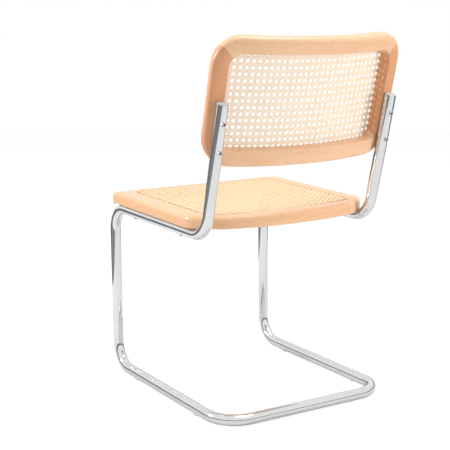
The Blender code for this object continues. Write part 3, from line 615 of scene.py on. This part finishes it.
def socketed_screw(node, name, outward):
    """A screw with a hexagon socket cut into its head along the outward direction."""
    screw = merged_copy(node, name)
    top = max(vertex.co.dot(outward) for vertex in screw.data.vertices)
    crown = [v.co for v in screw.data.vertices if v.co.dot(outward) > top - FLAT_DEPTH]
    middle = sum(crown, Vector()) / len(crown)
    bpy.ops.object.select_all(action="DESELECT")
    bpy.ops.mesh.primitive_cylinder_add(
        vertices=6, radius=SOCKET_RADIUS, depth=2 * SOCKET_DEPTH, location=middle,
        rotation=outward.to_track_quat("Z", "Y").to_euler(),
    )
    cutter = bpy.context.object
    apply_modifier(screw, "BOOLEAN", operation="DIFFERENCE", object=cutter, solver="EXACT")
    bpy.data.objects.remove(cutter)
    # The faces inside the socket are marked, and the screw finish paints shade on them.
    socket = screw.data.attributes.new("socket", "FLOAT", "FACE")
    for face, mark in zip(screw.data.polygons, socket.data):
        reach = face.center - middle
        depth = -reach.dot(outward)
        aside = (reach + depth * outward).length
        inside = aside < SOCKET_RADIUS and SOCKET_EDGE < depth < SOCKET_DEPTH + SOCKET_EDGE
        mark.value = float(inside)
    finished(screw, name, SCREW_STEEL, "screw_steel", node, smooth=SCREW_ANGLE)


print(f"Socket: {2000 * SOCKET_RADIUS:.1f} mm across corners, {1000 * SOCKET_DEPTH:.1f} mm deep")

# %% Screws of the back and the seat
BACKWARDS = Vector((0, math.cos(BACK_LEAN), -math.sin(BACK_LEAN)))
DOWNWARDS = Vector((0, -math.sin(SEAT_FALL), -math.cos(SEAT_FALL)))
for side in ("left", "right"):
    for row in ("lower", "upper"):
        socketed_screw(f"back_screw_{row}_{side}", f"back_bolt_{row}_{side}", BACKWARDS)
    for row in ("front", "rear"):
        socketed_screw(f"seat_screw_{row}_{side}", f"seat_bolt_{row}_{side}", DOWNWARDS)

# %% [markdown]
# ## The cane
# Cane webbing is woven from split rattan in six directions: pairs of strands down and across, and
# single strands on both diagonals, which cut the corners of each square and leave an eight-sided
# hole. A picture with holes could stand for it, but the edges of real strands show in the
# photograph. So one cell is modelled and repeated. First comes one strand: a flat section that is
# pushed along in steps, while it rises or falls over its neighbours.

# %% One strand
BACK_STRAND = (0.00112, 0.00020)  # half its width and half its thickness
SEAT_STRAND = (0.00130, 0.00045)


def strand(start, end, first_lift, last_lift, steps, section):
    """A flat four-sided strand between two points, eased from one lift to the other."""
    half_width, half_thick = (half * math.sqrt(2) for half in section)
    way = (end - start).normalized()
    aside = Vector((-way.y, way.x, 0))
    bpy.ops.mesh.primitive_circle_add(vertices=4, radius=1.0, rotation=(0, 0, math.pi / 4))
    piece = bpy.context.object
    axes = Matrix((aside * half_width, Vector((0, 0, half_thick)), way)).transposed().to_4x4()
    settle(piece)
    piece.matrix_world = Matrix.Translation((start.x, start.y, first_lift)) @ axes
    settle(piece)
    edit(piece)
    height = first_lift
    for step in range(1, steps + 1):
        ease = (1 - math.cos(math.pi * step / steps)) / 2
        target = first_lift + (last_lift - first_lift) * ease
        push((end - start) / steps + Vector((0, 0, target - height)))
        height = target
    return leave()


for label, section in (("Back", BACK_STRAND), ("Seat", SEAT_STRAND)):
    print(f"{label} strand: {2000 * section[0]:.2f} x {2000 * section[1]:.2f} mm")

# %% [markdown]
# A cell is centred where two pairs cross. The pair that runs down lies below the pair that runs
# across, and each diagonal goes over one pair and under the other. The strands end open at the
# cell's edges, where they meet the strands of the next cell.

# %% One woven cell
PAIR_OFFSET = 0.0020
LIFT_PAIR, LIFT_DIAGONAL = 0.0003, 0.0006
STRAND_STEPS = 4
# Steeper faces are the strands' sides, which get pith colour as painted shade.
BARK_NORMAL = 0.7  # the bark's faces look up or down at least this steeply


def woven_cell(across, along, section):
    """All the strands of one cell, joined, with a mark on the faces of bark."""
    half_x, half_y = across / 2, along / 2
    strands = []
    for sign in (1, -1):
        offset = sign * PAIR_OFFSET
        for end in (1, -1):
            lift = LIFT_DIAGONAL * sign * end
            down = ((offset, 0), (offset, end * half_y), -LIFT_PAIR, 0, STRAND_STEPS // 2)
            level = ((0, offset), (end * half_x, offset), LIFT_PAIR, 0, STRAND_STEPS // 2)
            slanting = ((sign * half_x, 0), (0, end * half_y), -lift, lift, STRAND_STEPS)
            for first, last, *lifts_and_steps in (down, level, slanting):
                strands.append(
                    strand(Vector((*first, 0)), Vector((*last, 0)), *lifts_and_steps, section)
                )
    only(strands[0])
    for piece in strands:
        piece.select_set(True)
    bpy.ops.object.join()
    edit(bpy.context.object)
    bpy.ops.mesh.remove_doubles(threshold=MERGE_GAP)
    cell = leave()
    # Faces left without this mark get painted shade in the cane finish.
    bark = cell.data.attributes.new("bark", "FLOAT", "FACE")
    marks = [float(abs(face.normal.z) > BARK_NORMAL) for face in cell.data.polygons]
    bark.data.foreach_set("value", marks)
    print(f"Cell of {1000 * across:.1f} x {1000 * along:.1f} mm: {len(strands)} strands")
    return cell


print(f"The two strands of a pair lie {2000 * PAIR_OFFSET:.1f} mm apart")

# %% [markdown]
# ## Trimming the sheets
# In the real chair the sheet is pressed into a groove round the opening and trimmed there. The
# trimming line here is the opening's outline moved outwards into the groove. It is convex, so one
# straight cut along each of its sides leaves exactly the sheet, which is quicker and cleaner than
# a Boolean with so many strands.

# %% Trimming line
CORNER_CUTS = 4
BOW_SHARES = (0.75, 0.5, 0.25, 0.0)  # where points stand on half of the bowed edge


def rounded_outline(half_width, low, high, corner, bow, grow):
    """A convex outline, anticlockwise, moved outwards by grow; its far edge may be bowed."""
    w, near, far = half_width + grow, low - grow, high - bow + grow
    r = corner + grow
    points = []
    for middle_y, start in ((near + r, -90), (far - r, 0)):
        for step in range(CORNER_CUTS + 1):
            angle = math.radians(start + 90 * step / CORNER_CUTS)
            x, y = w - r + r * math.cos(angle), middle_y + r * math.sin(angle)
            points.append(Vector((x, y, 0)))
    if bow:
        radius = (half_width**2 + bow**2) / (2 * bow)
        crown = high + grow
        for share in BOW_SHARES:
            x = (w - r) * share
            points.append(Vector((x, crown - (radius - math.sqrt(radius**2 - x**2)), 0)))
    mirrored = [Vector((-p.x, p.y, 0)) for p in reversed(points) if p.x > 0]
    return points + mirrored


CANE_TUCK = 0.0080  # how far the cane reaches past the opening's edge
back_outline = rounded_outline(
    half_width=0.204, low=0.188, high=0.390, corner=0.028, bow=0.0, grow=CANE_TUCK
)
seat_outline = rounded_outline(
    half_width=0.1785, low=0.0635, high=0.4115, corner=0.020, bow=0.018, grow=CANE_TUCK
)
print("Sides of the trimming lines:", len(back_outline), "back,", len(seat_outline), "seat")

# %% [markdown]
# Two arrays repeat the cell and merge the strands where the cells meet. Each cut then leaves the
# strands open, and every open end is closed by a face of its own. Filling during the cut would be
# shorter, but it also bridges strands that touch, and not always in the same way.

# %% Weave and trim a sheet
SHORTEST_SIDE = 0.0001
CUT_PRECISION = 0.0000001


def trimmed_sheet(outline, across, along, centre_y, section):
    """An array of cells, cut to the outline."""
    bpy.ops.object.select_all(action="DESELECT")
    sheet = woven_cell(across, along, section)
    width = max(p.x for p in outline) - min(p.x for p in outline)
    depth = max(p.y for p in outline) - min(p.y for p in outline)
    cells_x, cells_y = (
        2 * math.ceil(reach / cell / 2) + 2 for reach, cell in ((width, across), (depth, along))
    )
    for count, offset in ((cells_x, (across, 0, 0)), (cells_y, (0, along, 0))):
        apply_modifier(
            sheet, "ARRAY", count=count, use_relative_offset=False, use_constant_offset=True,
            constant_offset_displace=offset, use_merge_vertices=True, merge_threshold=MERGE_GAP,
        )
    start = (-(cells_x - 1) * across / 2, centre_y - (cells_y - 1) * along / 2, 0)
    sheet.data.transform(Matrix.Translation(start))
    edit(sheet)
    bpy.ops.mesh.normals_make_consistent(inside=False)
    for a, b in zip(outline, outline[1:] + outline[:1]):
        side = b - a
        if side.length < SHORTEST_SIDE:
            continue
        outwards = Vector((side.y, -side.x, 0)).normalized()
        bpy.ops.mesh.select_all(action="SELECT")
        bpy.ops.mesh.bisect(
            plane_co=a, plane_no=outwards, clear_outer=True, threshold=CUT_PRECISION
        )
        bpy.ops.mesh.select_all(action="SELECT")
        bpy.ops.mesh.fill_holes(sides=0)
    return leave()


print(f"Sides of the line shorter than {1000 * SHORTEST_SIDE:.1f} mm need no cut")

# %% [markdown]
# ## Placing the sheets
# The seat's frame lies on the tube behind the knee and falls with it. The back's frame leans with
# the uprights, and it is bent round a cylinder whose axis stands in front of it. Its sheet could
# be bent by a Simple Deform modifier. Moving each vertex by the cylinder's own formula is exact,
# so the strands end where the packed groove lies.

# %% Where the seat and the back lie
BACK_RADIUS = 0.750
FIT_GAP = 0.0003
_, _, knee, hip, _ = side_corners()
wrap = math.asin(HALF_TRACK / BACK_RADIUS)
SETBACK = BACK_RADIUS * (1 - math.cos(wrap)) - (TUBE_RADIUS + FIT_GAP) / math.cos(wrap)
BACK_PLACE = (
    Matrix.Translation((0, hip.y, hip.z)) @ Matrix.Rotation(math.pi / 2 - BACK_LEAN, 4, "X")
)
SEAT_PLACE = (
    Matrix.Translation((0, knee.y, knee.z)) @ Matrix.Rotation(-SEAT_FALL, 4, "X")
    @ Matrix.Translation((0, 0, TUBE_RADIUS + FIT_GAP))
)
print(f"The back's rear face bows out {1000 * SETBACK:.1f} mm behind the axes of the uprights")

# %% Seat cane
CELL_SIDE = 0.0143
CANE_MIDDLE = 0.0010  # from the wood's face to the middle of the cane
STRAND_ANGLE = math.radians(20)
SEAT_TOP = 0.027
SEAT_WEAVE_MIDDLE = 0.2375

seat_sheet = trimmed_sheet(seat_outline, CELL_SIDE, CELL_SIDE, SEAT_WEAVE_MIDDLE, SEAT_STRAND)
seat_sheet.data.transform(SEAT_PLACE @ Matrix.Translation((0, 0, SEAT_TOP - CANE_MIDDLE)))
finished(seat_sheet, "seat_weave", SEAT_CANE, "cane", "seat_cane", smooth=STRAND_ANGLE)

# %% Back cane
BACK_CELL_RISE = 0.0140
BACK_TOP = 0.028
BACK_WEAVE_MIDDLE = 0.2870

back_sheet = trimmed_sheet(back_outline, CELL_SIDE, BACK_CELL_RISE, BACK_WEAVE_MIDDLE, BACK_STRAND)
for vertex in back_sheet.data.vertices:
    x, y, z = vertex.co
    radius = BACK_RADIUS - (BACK_TOP - CANE_MIDDLE + z)
    angle = x / BACK_RADIUS
    vertex.co = (radius * math.sin(angle), y, BACK_RADIUS - SETBACK - radius * math.cos(angle))
back_sheet.data.transform(BACK_PLACE)
finished(back_sheet, "back_weave", BACK_CANE, "cane", "back_cane", smooth=STRAND_ANGLE)

# %% [markdown]
# ## The floor
# The photograph has a plain white ground. A white plane would turn grey where the light thins
# out. So the floor is a wide disc that glows white for the camera, and only the chair's own soft
# shadow darkens it a little. Light that bounces about meets it as plain pale paper.

# %% Floor
FLOOR_RADIUS = 6.0
DISC_SIDES = 96
BLACK, WHITE = (0.0, 0.0, 0.0, 1.0), (1.0, 1.0, 1.0, 1.0)
FLOOR_PALE = (0.70, 0.70, 0.70, 1.0)
FLOOR_SEEN = (0.33, 0.33, 0.33, 1.0)
FLOOR_GLOW = 0.80
FLOOR_IN_MIRRORS = 0.15


def seen_directly(finish, in_mirrors):
    """One for the camera's rays or through glass, a share in mirrors, none for other bounces."""
    path = finish.tree.nodes.new("ShaderNodeLightPath")
    kinds = ("Camera", "Glossy", "Transmission")
    seen, mirrored, through = (Wire(finish, path.outputs[f"Is {kind} Ray"]) for kind in kinds)
    return seen + through + mirrored * in_mirrors


bpy.ops.object.select_all(action="DESELECT")
bpy.ops.mesh.primitive_circle_add(vertices=DISC_SIDES, radius=FLOOR_RADIUS, fill_type="NGON")
floor = bpy.context.object
floor.name = "floor"
paper = Finish("floor_white", Roughness=0.9, Specular_IOR_Level=0.0, Emission_Strength=FLOOR_GLOW)
seen = seen_directly(paper, FLOOR_IN_MIRRORS)
floor.data.materials.append(paper.surface(
    Base_Color=paper.mix(seen, FLOOR_PALE, FLOOR_SEEN), Emission_Color=paper.mix(seen, BLACK, WHITE)
))
print(f"Floor: a disc {2 * FLOOR_RADIUS:.0f} m across")

# %% [markdown]
# ## A dark surround for the chrome
# Chrome has no look of its own: it shows the room. A real studio is dark beyond its white sheet,
# and that is what draws the crisp dark lines along the tubes. Darker chrome would only turn the
# whole tube grey. So a dark border with a low wall lies round the sheet. Only mirrors see it, so
# it takes no light from the chair and doesn't show in the picture.

# %% Dark surround
SURROUND_INNER, SURROUND_OUTER = 1.50, 2.20
SURROUND_HEIGHT = 0.42
SURROUND_SPOT = Vector((-0.20, 0.20, 0.002))
CLOTH_DARK, CLOTH_WORN = (0.10, 0.102, 0.106, 1.0), (0.26, 0.265, 0.27, 1.0)
CLOTH_SCALE = 3.0

bpy.ops.object.select_all(action="DESELECT")
bpy.ops.mesh.primitive_circle_add(
    vertices=DISC_SIDES, radius=SURROUND_INNER, location=SURROUND_SPOT
)
surround = bpy.context.object
surround.name = "dark_surround"
settle(surround)
edit(surround)
push(Vector((0, 0, 0)))
widen = SURROUND_OUTER / SURROUND_INNER
bpy.ops.transform.resize(value=(widen, widen, 1.0), center_override=SURROUND_SPOT)
push(Vector((0, 0, SURROUND_HEIGHT)))
leave()
cloth = Finish("surround_dark", Roughness=0.9, Specular_IOR_Level=0.0)
wear = cloth.noise(cloth.place(), CLOTH_SCALE, detail=3.0)
surround.data.materials.append(cloth.surface(Base_Color=cloth.mix(wear, CLOTH_DARK, CLOTH_WORN)))
for ray in ("camera", "diffuse", "shadow", "transmission", "volume_scatter"):
    setattr(surround, f"visible_{ray}", False)
print(f"Dark surround from {SURROUND_INNER} to {SURROUND_OUTER} m, {SURROUND_HEIGHT} m high")

# %% [markdown]
# ## The sky
# The studio's white walls light the chair from all round, and the picture's ground is pure white.
# One brightness can't do both, because walls as bright as the ground would wash out the shading.
# So the sky is pure white for the camera and in mirrors, and about half as bright as a light.

# %% Sky
SKY_FILL = 0.48
SKY_IN_MIRRORS = 1.0


class Sky(Finish):
    """The world's own small network, written in the same way as a finish."""

    def __init__(self, world):
        self.material = world
        self.tree = world.node_tree
        self.shader = self.tree.nodes["Background"]


world = bpy.data.worlds.new("studio")
bpy.context.scene.world = world
world.use_nodes = True
sky = Sky(world)
fill = (SKY_FILL, SKY_FILL, SKY_FILL, 1.0)
sky.surface(Color=sky.mix(seen_directly(sky, SKY_IN_MIRRORS), fill, WHITE))
print(f"Sky: {SKY_FILL} as a light, 1 to the camera")

# %% [markdown]
# ## The lamps
# The seat's left edge and the top of the back are the brightest in the photograph, and the rear
# faces are bright too. Three soft lamps give that: a key lamp at the chair's front left, a wide
# one overhead, and one behind the chair on its right. The last one is hidden from mirrors,
# because the photograph shows no such bright patch in the tubes.


# %% Lamps
def lamp(name, spot, aim, size, power, in_mirrors=True):
    """A round lamp that shines from its spot to its aim."""
    data = bpy.data.lights.new(name, "AREA")
    data.shape = "DISK"
    data.size = size
    data.energy = power
    item = bpy.data.objects.new(name, data)
    bpy.context.scene.collection.objects.link(item)
    item.location = spot
    item.rotation_euler = (Vector(aim) - Vector(spot)).to_track_quat("-Z", "Y").to_euler()
    item.visible_glossy = in_mirrors
    print(f"{name}: {power} W, {size} m across")


lamp("key_lamp", spot=(3.0, -1.3, 1.9), aim=(0, 0.1, 0.55), size=0.8, power=94)
lamp("top_lamp", spot=(-0.6, 0.5, 3.3), aim=(0, 0, 0.4), size=1.8, power=62)
lamp("back_lamp", spot=(-2.2, 2.9, 0.8), aim=(0, 0.2, 0.6), size=1.5, power=74, in_mirrors=False)
bpy.context.scene.view_settings.view_transform = "Standard"

# %% [markdown]
